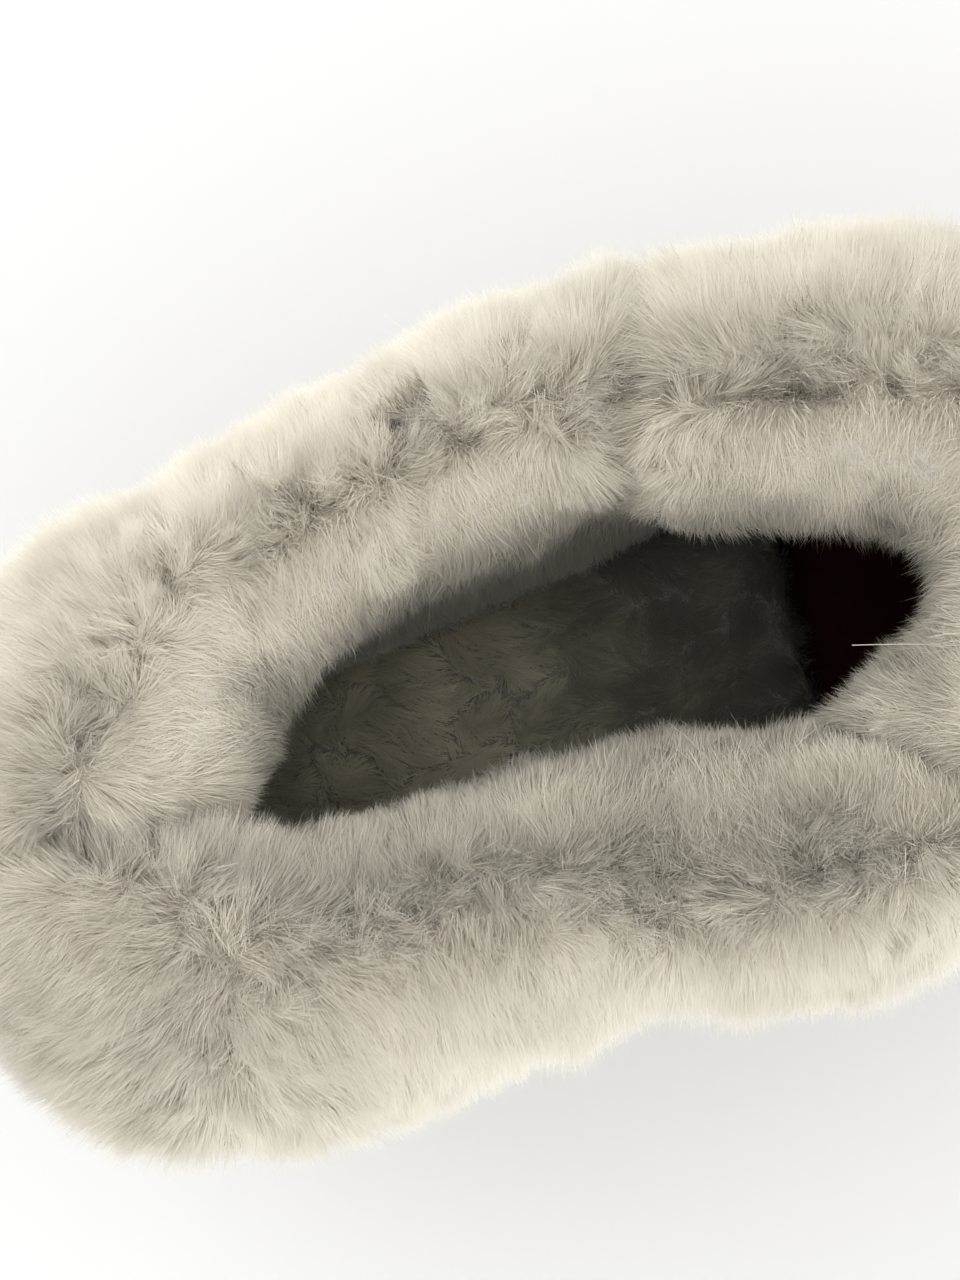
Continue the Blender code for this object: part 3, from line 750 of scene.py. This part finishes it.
def long_hairs(width):
    """The few single hairs that stand out, as strands."""
    root = np.array([start for start, _ in LONG_HAIRS])
    tip = np.array([end for _, end in LONG_HAIRS])
    up = np.tile(np.array([[0.0, 0.0, 1.0]]), (len(root), 1))
    middle = (root + tip) / 2 + up * 0.0006
    across = unit(np.cross(tip - root, up))
    even = np.ones(len(root))
    return Strands(root, middle, tip, across, even * width * 0.8, even * 0.97, up, even > 0)


def gather(root, middle, tip, length, spacing, pull, seed, area):
    """Draws hairs together into locks that taper to their tips."""
    rng = np.random.default_rng(seed)
    locks = min(len(root), max(8, int(area * 0.6 / spacing**2)))
    leaders = rng.choice(len(root), size=locks, replace=False)
    tree = KDTree(locks)
    for index, leader in enumerate(leaders):
        tree.insert(root[leader], index)
    tree.balance()
    nearest = np.array([tree.find(point)[1] for point in root])
    strength = np.minimum(np.clip(rng.normal(1.0, 0.45, locks), 0.0, 1.8)[nearest] * pull, 0.9)[:, None]
    lead = leaders[nearest]
    ratio = (length / length[lead])[:, None]
    aim = root[lead] + (tip[lead] - root[lead]) * ratio
    halfway = root[lead] + (middle[lead] - root[lead]) * ratio
    tone = rng.uniform(-1, 1, locks)[nearest]
    middle = middle + (halfway - middle) * strength * 0.42
    tip = tip + (aim - tip) * strength
    return middle, tip, tone


def hair_mesh(name, strands):
    """One mesh of flat, tapering hairs: a bent one is a quad and a triangle, a straight one
    is a triangle. Their normals lean towards the pelt's, so that the fur shades softly."""
    bent = part_of(strands, strands.curved)
    straight = part_of(strands, ~strands.curved)
    points, normals, corners, starts, uvs = [], [], [], [], []
    first_corner = first_point = 0
    for group, pattern, faces, side, up in (
        (
            bent, (0, 1, 3, 2, 2, 3, 4), (0, 4),
            (-1, 1, 1, -1, -1, 1, 0), (0.03, 0.03, 0.5, 0.5, 0.5, 0.5, 0.97),
        ),
        (straight, (0, 1, 2), (0,), (-1, 1, 0), (0.03, 0.03, 0.97)),
    ):
        count = len(group.root)
        half = group.across * group.width[:, None] / 2
        rows = [group.root - half, group.root + half]
        if len(faces) == 2:
            rows += [group.middle - half * 0.85, group.middle + half * 0.85]
        rows.append(group.tip)
        points.append(np.stack(rows, axis=1).reshape(-1, 3))
        normals.append(np.repeat(group.normal, len(rows), axis=0))
        order = np.arange(count)[:, None]
        corners.append((np.array(pattern)[None, :] + order * len(rows)).ravel() + first_point)
        starts.append((np.array(faces)[None, :] + order * len(pattern)).ravel() + first_corner)
        tones = np.clip(group.tone[:, None] + np.array(side)[None, :] * 0.006, 0.0, 1.0)
        uvs.append(np.stack([tones, np.tile(np.array(up), (count, 1))], axis=2).reshape(-1, 2))
        first_point += count * len(rows)
        first_corner += count * len(pattern)
    mesh = bpy.data.meshes.new(name)
    mesh.vertices.add(first_point)
    mesh.vertices.foreach_set("co", np.concatenate(points).ravel().astype(np.float32))
    mesh.loops.add(first_corner)
    mesh.loops.foreach_set("vertex_index", np.concatenate(corners).astype(np.int32))
    starts = np.concatenate(starts).astype(np.int32)
    mesh.polygons.add(len(starts))
    mesh.polygons.foreach_set("loop_start", starts)
    mesh.update(calc_edges=True)
    chart = mesh.uv_layers.new(name="OFBake")
    chart.data.foreach_set("uv", np.concatenate(uvs).ravel().astype(np.float32))
    mesh.shade_smooth()
    mesh.normals_split_custom_set_from_vertices(np.concatenate(normals))
    return linked(name, mesh)


def part_of(strands, chosen):
    return Strands(*(values[chosen] for values in strands))


# Settings


def length_property(name, description, default, low=0.0):
    return FloatProperty(name=name, description=description, default=default, min=low, unit="LENGTH")


def angle_property(name, description, degrees):
    return FloatProperty(
        name=name, description=description, default=math.radians(degrees), subtype="ANGLE"
    )


def share_property(name, description, default):
    return FloatProperty(
        name=name, description=description, default=default, min=0.0, max=1.0, subtype="FACTOR"
    )


def amount_property(name, description, default, unit="NONE"):
    return FloatProperty(name=name, description=description, default=default, min=0.0, unit=unit)


def count_property(name, description, default):
    return IntProperty(name=name, description=description, default=default, min=0)


def colour_property(name, description, default):
    return FloatVectorProperty(
        name=name, description=description, subtype="COLOR", size=3, min=0.0, max=1.0, default=default
    )


class FurSettings(bpy.types.PropertyGroup):
    pelt_grain: length_property("Pelt grain", "Voxel size of the pelts' skin", 0.0022, 0.001)
    pelt_smoothing: count_property("Pelt smoothing", "How many times the pelts' skin is smoothed", 5)
    pelt_depth: length_property("Pelt depth", "How far the cuff's skin lies inside its fur solid", 0.0028)
    cuff_length: length_property("Cuff hair", "Length of the cuff's hair", 0.0084)
    mouth_length: length_property("Mouth hair", "Length of the hair round the opening", 0.0072)
    lining_length: length_property("Lining hair", "Length of the hair down inside the shoe", 0.0056)
    insole_length: length_property("Insole hair", "Length of the fur insole's hair", 0.0052)
    hair_width: length_property("Hair width", "Width of a hair at its root", 0.00012)
    parting_tilt: angle_property("Tilt at a parting", "Angle from the skin's normal at a parting", 30)
    lay_tilt: angle_property("Tilt where it lies", "Angle from the normal away from a parting", 40)
    lining_tilt: angle_property("Tilt inside", "Angle from the normal towards the foot", 64)
    curved_share: share_property("Bent hairs", "Share of the hairs that bend on their way", 0.10)
    guard_share: share_property("Guard hairs", "Share of longer hairs that stay out of the locks", 0.003)
    vamp_lean: amount_property("Vamp lean", "How much the vamp's hair leans over its seams", 1.1)
    side_lean: amount_property("Side lean", "How much the sides' hair leans over their seams", 0.70)
    lock_spacing: length_property("Lock spacing", "Distance between two locks", 0.0042, 0.001)
    lock_pull: share_property("Lock pull", "How far the hairs of a lock are drawn together", 0.15)
    wisp_spacing: length_property("Wisp spacing", "Distance between two fine wisps", 0.0013, 0.0004)
    wisp_pull: share_property("Wisp pull", "How far the hairs of a wisp are drawn together", 0.20)
    side_hairs: count_property("Hairs of a side", "Hairs on each of the two side pelts", 240000)
    vamp_hairs: count_property("Hairs of the vamp", "Hairs on the vamp's pelt", 156000)
    insole_hairs: count_property("Hairs of the insole", "Hairs on the fur insole", 58000)


class ColourSettings(bpy.types.PropertyGroup):
    fur_tip: colour_property("Fur tips", "Colour of the hairs' tips", (0.90, 0.865, 0.765))
    fur_root: colour_property("Fur roots", "Colour of the hairs' roots", (0.83, 0.785, 0.68))
    # Dark end of the hairs' tones: it darkens the cooler hairs and carries the painted shade deep inside
    # the shoe.
    fur_dark_and_painted_shade: colour_property("Fur shade", "What the cooler hairs are multiplied by", (0.42, 0.405, 0.37))
    leather: colour_property("Leather", "Colour of the upper's leather", (0.090, 0.010, 0.012))
    # Partly painted shade: the lining's own dark oxblood is darkened further, as it lies in the shoe's
    # shade.
    lining: colour_property("Lining", "Colour of the lining and the insole", (0.030, 0.0022, 0.0030))
    cupsole: colour_property("Cupsole", "Colour of the cupsole's rubber", (0.66, 0.625, 0.545))
    outsole: colour_property("Outsole", "Colour of the outsole's rubber", (0.34, 0.22, 0.12))
    thread: colour_property("Thread", "Colour of the sewing thread", (0.70, 0.64, 0.52))
    floor: colour_property("Floor", "Colour of the studio floor", (0.97, 0.97, 0.965))


class SewingSettings(bpy.types.PropertyGroup):
    stitch_length: length_property("Stitch length", "Length of one stitch", 0.0029, 0.001)
    stitch_pitch: length_property("Stitch pitch", "From one stitch of the rim to the next", 0.0042, 0.001)
    thread_width: length_property("Thread width", "Thickness of the thread", 0.00075)
    rim_inset: length_property("Distance from the rim", "How far the seam lies below the rim", 0.0036)


class StageSettings(bpy.types.PropertyGroup):
    azimuth: angle_property("Azimuth", "Camera's angle round the shoe, 0 looks along +Y", -20)
    elevation: angle_property("Elevation", "Camera's angle above the floor", 80)
    distance: length_property("Distance", "Distance from the camera to its target", 0.38)
    view_height: length_property("View height", "What the picture's longer side spans at the target", 0.183)
    target: FloatVectorProperty(
        name="Target", description="Point that the camera looks at", size=3, default=(0.036, 0.008, 0.092),
        subtype="TRANSLATION", unit="LENGTH",
    )
    key_power: amount_property("Soft light", "Power of the light on the outer side", 9.1, "POWER")
    fill_power: amount_property("Fill light", "Power of the light on the inner side", 7.3, "POWER")
    sky: amount_property("Surroundings", "Brightness of the pale room around", 0.98)


# Operators


class SNEAKER_OT_pelts(bpy.types.Operator):
    """Makes the soft pelts that the fur stands on"""

    bl_idname = "sneaker.pelts"
    bl_label = "Pelts"

    def execute(self, context):
        cuff_finish = underfur_finish("underfur", context.scene.sneaker_colours)
        # Painted shade: the insole's underfur is darkened to 0.36 for the shade inside the shoe.
        insole_finish = underfur_finish("insole_underfur", context.scene.sneaker_colours, 0.36)
        crest = parting_points(tree_of([NODES[node].data for node in CUFF_NODES]))
        core = crest - np.array([0, 0, ROLL_DEPTH])
        rigid = tree_of([NODES[node].data for node in RIGID_NODES])
        for node in FUR_NODES:
            obj = soft_pelt(node, context.scene.sneaker_fur, core, rigid)
            finish_piece(obj, [cuff_finish if node in CUFF_NODES else insole_finish], [node])
        return {"FINISHED"}


class SNEAKER_OT_cuff_fur(bpy.types.Operator):
    """Grows the cuff's hair on its three pelts"""

    bl_idname = "sneaker.cuff_fur"
    bl_label = "Cuff fur"

    def execute(self, context):
        fur = context.scene.sneaker_fur
        finish = hair_finish("cuff_hair", context.scene.sneaker_colours, (1.0, 0.985, 0.945))
        pelts = {node: bpy.data.objects[pelt_name(node)] for node in CUFF_NODES}
        parting = parting_points(tree_of([pelt.data for pelt in pelts.values()]))
        rigid = tree_of([NODES[node].data for node in RIGID_NODES])
        counts = {"fur_lateral": fur.side_hairs, "fur_medial": fur.side_hairs, "fur_vamp": fur.vamp_hairs}
        for order, (node, pelt) in enumerate(pelts.items()):
            others = [other.data for name, other in pelts.items() if name != node]
            fields = pelt_fields(pelt, rigid, tree_of(others), PARTING)
            leaning = fur.vamp_lean if node == "fur_vamp" else fur.side_lean
            strands = grow(counts[node], fields, parting, fur, 100 + order * 20, leaning)
            if node == "fur_vamp":
                singles = long_hairs(fur.hair_width)
                strands = Strands(*(np.concatenate(pair) for pair in zip(strands, singles)))
            ahead = strands.root[:, 0] > np.median(strands.root[:, 0])
            halves = {"_front": ahead, "_back": ~ahead} if node != "fur_vamp" else {"": ahead | ~ahead}
            for ending, chosen in halves.items():
                obj = hair_mesh(node.replace("fur_", "hair_") + ending, part_of(strands, chosen))
                finish_piece(obj, [finish])
        return {"FINISHED"}


class SNEAKER_OT_insole_fur(bpy.types.Operator):
    """Grows the short hair of the fur insole"""

    bl_idname = "sneaker.insole_fur"
    bl_label = "Insole fur"

    def execute(self, context):
        fur = context.scene.sneaker_fur
        # Painted shade: the insole's hair is set darker than the cuff's, partly for a greyer fur and partly
        # for the shade inside the shoe; its dark end, at 0.45, is painted shade.
        finish = hair_finish("insole_hair", context.scene.sneaker_colours, (0.80, 0.755, 0.635), 0.45)
        points, normals, corners = arrays_of(bpy.data.objects["pelt_insole"].data)
        room = (normals[:, 2] > -0.2).astype(float)
        crease, lean, inner = np.zeros(len(points)), np.zeros(points.shape), np.ones(len(points))
        fields = (points, normals, corners, room, crease, lean, inner)
        strands = grow(fur.insole_hairs, fields, None, fur, 300)
        finish_piece(hair_mesh("hair_insole", strands), [finish])
        return {"FINISHED"}


# Soft flex creases over the vamp: where they cross the middle, and their depth
FLEX_CREASES = [(0.149, 0.0007), (0.160, 0.0009), (0.172, 0.0006)]
CREASE_WIDTH = 0.0032
CREASE_SWEEP = 2.2


def vamp_relief(x, y, height):
    """How far the leather stands in at a point ahead of the cuff."""
    depth = 0.0
    for start, deep in FLEX_CREASES:
        line = start - CREASE_SWEEP * y * y + 0.0012 * math.sin(y * 140 + start * 900)
        away = (x - line) / CREASE_WIDTH
        depth += deep * (math.exp(-away * away) - 0.45 * math.exp(-((away - 1.7) ** 2)))
    return depth * float(smoothstep(0.026, 0.040, height)) * (1 - min(1.0, abs(y) / 0.046) ** 3)


class SNEAKER_OT_upper(bpy.types.Operator):
    """Makes the leather upper with its soft flex creases and its dark lining"""

    bl_idname = "sneaker.upper"
    bl_label = "Upper"

    def execute(self, context):
        colours = context.scene.sneaker_colours
        obj = quad_copy("upper", "upper_leather")
        with edited(obj.data) as bm:
            crease_folds(bm, math.radians(50), 0.75)
            for face in bm.faces:
                middle = face.calc_center_median()
                axis = Vector((min(AXIS_TOE, max(AXIS_HEEL, middle.x)), 0.0, AXIS_HEIGHT))
                face.material_index = 0 if face.normal.dot(middle - axis) > 0 else 1
        subdivide(obj)
        with edited(obj.data) as bm:
            bm.normal_update()
            steps = []
            for vert in bm.verts:
                if vert.normal.z > 0.15 and all(face.material_index == 0 for face in vert.link_faces):
                    steps.append((vert, vert.normal * vamp_relief(*vert.co)))
            for vert, step in steps:
                vert.co -= step
        obj.data.shade_smooth()
        finish_piece(obj, [leather_finish(colours), lining_finish(colours)], ["upper"])
        return {"FINISHED"}


class SNEAKER_OT_cupsole(bpy.types.Operator):
    """Makes the cream cupsole with rounded edges"""

    bl_idname = "sneaker.cupsole"
    bl_label = "Cupsole"

    def execute(self, context):
        colours = context.scene.sneaker_colours
        obj = quad_copy("midsole", "cupsole")
        with edited(obj.data) as bm:
            crease_folds(bm, math.radians(24), 0.42)
        subdivide(obj)
        obj.data.shade_smooth()
        finish = rubber_finish("cream_rubber", tuple(colours.cupsole), 0.42, 1500.0)
        finish_piece(obj, [finish], ["midsole"])
        return {"FINISHED"}


class SNEAKER_OT_outsole_and_insole(bpy.types.Operator):
    """Gives the outsole its gum rubber and the insole its smooth dark lining"""

    bl_idname = "sneaker.outsole_and_insole"
    bl_label = "Outsole and insole"

    def execute(self, context):
        colours = context.scene.sneaker_colours
        rubber = rubber_finish("gum_rubber", tuple(colours.outsole), 0.48, 1100.0)
        wear(NODES["outsole"], rubber)
        wear(NODES["insole"], bpy.data.materials["oxblood_lining"])
        return {"FINISHED"}


def stitch_template(sewing):
    """One stitch along X: a rounded bar of thread, half sunk in what it sews."""
    mesh = bpy.data.meshes.new("stitch")
    with edited(mesh) as bm:
        bmesh.ops.create_uvsphere(bm, u_segments=8, v_segments=6, radius=0.5)
        bmesh.ops.rotate(bm, verts=bm.verts, matrix=Matrix.Rotation(math.pi / 2, 3, "Y"))
        for vert in bm.verts:
            width = sewing.thread_width * (1 - 0.35 * (2 * vert.co.x) ** 4)
            vert.co = Vector((vert.co.x * sewing.stitch_length, vert.co.y * width, vert.co.z * width))
    return mesh


def stitch_places(path, normals, pitch):
    """Places for stitches at an even pitch along a path on a surface."""
    places, gone, due = [], 0.0, 0.0
    for start, end, normal in zip(path, path[1:], normals):
        span = (end - start).length
        while due <= gone + span and span > 0:
            point = start.lerp(end, (due - gone) / span)
            x = (end - start).normalized()
            z = (normal - x * normal.dot(x)).normalized()
            turn = Matrix((x, z.cross(x), z)).transposed()
            places.append(Matrix.Translation(point) @ turn.to_4x4())
            due += pitch
        gone += span
    return places


def round_the_sole():
    """Plan directions once round the shoe: a point on the middle line and a direction."""
    length = AXIS_TOE - AXIS_HEEL
    quarter = math.pi / 2
    rays = [(AXIS_HEEL + length * step / 96, quarter) for step in range(96)]
    rays += [(AXIS_TOE, quarter - math.pi * step / 48) for step in range(48)]
    rays += [(AXIS_TOE - length * step / 96, -quarter) for step in range(96)]
    rays += [(AXIS_HEEL, -quarter - math.pi * step / 48) for step in range(49)]
    return [(Vector((x, 0, 0)), Vector((math.cos(turn), math.sin(turn), 0))) for x, turn in rays]


def rim_path(sole, sewing):
    """Points and normals of the seam round the cupsole's wall, below its rim."""
    path, normals = [], []
    for middle, outwards in round_the_sole():
        far = middle + outwards * 0.2
        heights = [0.016 + 0.0005 * step for step in range(60)]
        hits = [sole.ray_cast(far + Vector((0, 0, z)), -outwards) for z in heights]
        rim = max(
            hit[0].z for hit in hits
            if hit[0] and (hit[0] - far).to_2d().length < 0.2 and abs(hit[1].z) < 0.8
        )
        place, normal, _, _ = sole.ray_cast(far + Vector((0, 0, rim - sewing.rim_inset)), -outwards)
        path.append(place + normal * sewing.thread_width * 0.1)
        normals.append(normal)
    return path, normals


def seam_places(upper, rays, pitch):
    """Places for stitches where rays from outside meet the leather."""
    hits = [upper.ray_cast(Vector(start), Vector(heading)) for start, heading in rays]
    hits = [hit for hit in hits if hit[0]]
    return stitch_places([hit[0] for hit in hits], [hit[1] for hit in hits], pitch)


# The upper's seams, from under the cuff to the cupsole: a side's by X and Z, the heel's by Z
SIDE_SEAM = ((0.080, 0.068), (0.123, 0.020))
HEEL_SEAM = (0.060, 0.020)
ROW_SHIFTS = (-0.0016, 0.0016)


class SNEAKER_OT_stitches(bpy.types.Operator):
    """Sews the cupsole's rim and the upper's plain seams"""

    bl_idname = "sneaker.stitches"
    bl_label = "Stitches"

    def execute(self, context):
        sewing = context.scene.sneaker_sewing
        finish = thread_finish(context.scene.sneaker_colours)
        template = stitch_template(sewing)
        path, normals = rim_path(tree_of([bpy.data.objects["cupsole"].data]), sewing)
        places = stitch_places(path, normals, sewing.stitch_pitch)
        finish_piece(joined_copies("cupsole_stitches", template, places), [finish])

        upper = tree_of([bpy.data.objects["upper_leather"].data])
        pitch = sewing.stitch_pitch * 0.8
        (x, z), (low_x, low_z) = SIDE_SEAM
        top, bottom = HEEL_SEAM
        places = []
        for side in (1, -1):
            for shift in ROW_SHIFTS:
                rays = []
                for step in range(31):
                    share = step / 30
                    start = (x + (low_x - x) * share + shift, side * 0.2, z + (low_z - z) * share)
                    rays.append((start, (0, -side, 0)))
                places += seam_places(upper, rays, pitch)
        for shift in ROW_SHIFTS:
            rays = [
                ((-0.2, shift, top + (bottom - top) * step / 16), (1, 0, 0)) for step in range(17)
            ]
            places += seam_places(upper, rays, pitch)
        finish_piece(joined_copies("upper_stitches", template, places), [finish])
        bpy.data.meshes.remove(template)
        return {"FINISHED"}


FLOOR_HALF = 3.0
# Two wide, low lights: name, which setting is its power, colour and place
LIGHTS = (
    ("soft_light", "key_power", (0.975, 0.988, 1.0), (-0.35, 1.15, 0.26)),
    ("fill_light", "fill_power", (0.93, 0.965, 1.0), (0.45, -1.15, 0.26)),
)
LIGHT_SIZE = (1.4, 0.4)
LIGHT_AIM = (0.06, 0.0, 0.05)


class SNEAKER_OT_stage(bpy.types.Operator):
    """Sets the pale floor, the soft light and the camera"""

    bl_idname = "sneaker.stage"
    bl_label = "Stage"

    def execute(self, context):
        stage = context.scene.sneaker_stage
        mesh = bpy.data.meshes.new("floor")
        with edited(mesh) as bm:
            bmesh.ops.create_grid(bm, x_segments=1, y_segments=1, size=FLOOR_HALF)
        floor = linked("floor", mesh)
        mesh.materials.append(floor_finish(context.scene.sneaker_colours))

        for name, power, colour, place in LIGHTS:
            light = bpy.data.lights.new(name, "AREA")
            light.shape = "RECTANGLE"
            light.size, light.size_y = LIGHT_SIZE
            light.energy = getattr(stage, power)
            light.color = colour
            lamp = linked(name, light)
            lamp.visible_camera = False
            lamp.location = place
            lamp.rotation_euler = (Vector(LIGHT_AIM) - Vector(place)).to_track_quat("-Z", "Y").to_euler()

        world = bpy.data.worlds.new("pale_room")
        world.use_nodes = True
        sky = world.node_tree.nodes["Background"]
        sky.inputs["Color"].default_value = (1.0, 1.0, 1.0, 1.0)
        sky.inputs["Strength"].default_value = stage.sky
        context.scene.world = world
        context.scene.view_settings.view_transform = "Standard"

        flat = math.cos(stage.elevation)
        towards = Vector((
            math.sin(stage.azimuth) * flat, -math.cos(stage.azimuth) * flat, math.sin(stage.elevation)
        ))
        data = bpy.data.cameras.new("photo_camera")
        data.sensor_fit = "AUTO"
        data.lens = data.sensor_width * stage.distance / stage.view_height
        data.clip_start = 0.01
        camera = linked("photo_camera", data)
        camera.location = Vector(stage.target) + towards * stage.distance
        camera.rotation_euler = (-towards).to_track_quat("-Z", "Y").to_euler()
        context.scene.camera = camera
        return {"FINISHED"}


class SNEAKER_PT_panel(bpy.types.Panel):
    """Lists the steps that dress the sneaker"""

    bl_idname = "SNEAKER_PT_panel"
    bl_label = "Fur-lined sneaker"
    bl_space_type = "VIEW_3D"
    bl_region_type = "UI"
    bl_category = "Sneaker"

    def draw(self, context):
        for step in STEPS:
            self.layout.operator(step.bl_idname)
        for group in ("sneaker_fur", "sneaker_colours", "sneaker_sewing", "sneaker_stage"):
            settings = getattr(context.scene, group)
            box = self.layout.box()
            for key in settings.__annotations__:
                box.prop(settings, key)


STEPS = (
    SNEAKER_OT_pelts,
    SNEAKER_OT_cuff_fur,
    SNEAKER_OT_insole_fur,
    SNEAKER_OT_upper,
    SNEAKER_OT_cupsole,
    SNEAKER_OT_outsole_and_insole,
    SNEAKER_OT_stitches,
    SNEAKER_OT_stage,
)
SETTINGS = {
    "sneaker_fur": FurSettings,
    "sneaker_colours": ColourSettings,
    "sneaker_sewing": SewingSettings,
    "sneaker_stage": StageSettings,
}
CLASSES = (*SETTINGS.values(), *STEPS, SNEAKER_PT_panel)


def register():
    for item in CLASSES:
        bpy.utils.register_class(item)
    for key, group in SETTINGS.items():
        setattr(bpy.types.Scene, key, PointerProperty(type=group))


def unregister():
    for key in SETTINGS:
        delattr(bpy.types.Scene, key)
    for item in reversed(CLASSES):
        bpy.utils.unregister_class(item)


def main():
    register()
    bpy.ops.sneaker.pelts()
    bpy.ops.sneaker.cuff_fur()
    bpy.ops.sneaker.insole_fur()
    bpy.ops.sneaker.upper()
    bpy.ops.sneaker.cupsole()
    bpy.ops.sneaker.outsole_and_insole()
    bpy.ops.sneaker.stitches()
    bpy.ops.sneaker.stage()


if __name__ == "__main__":
    main()
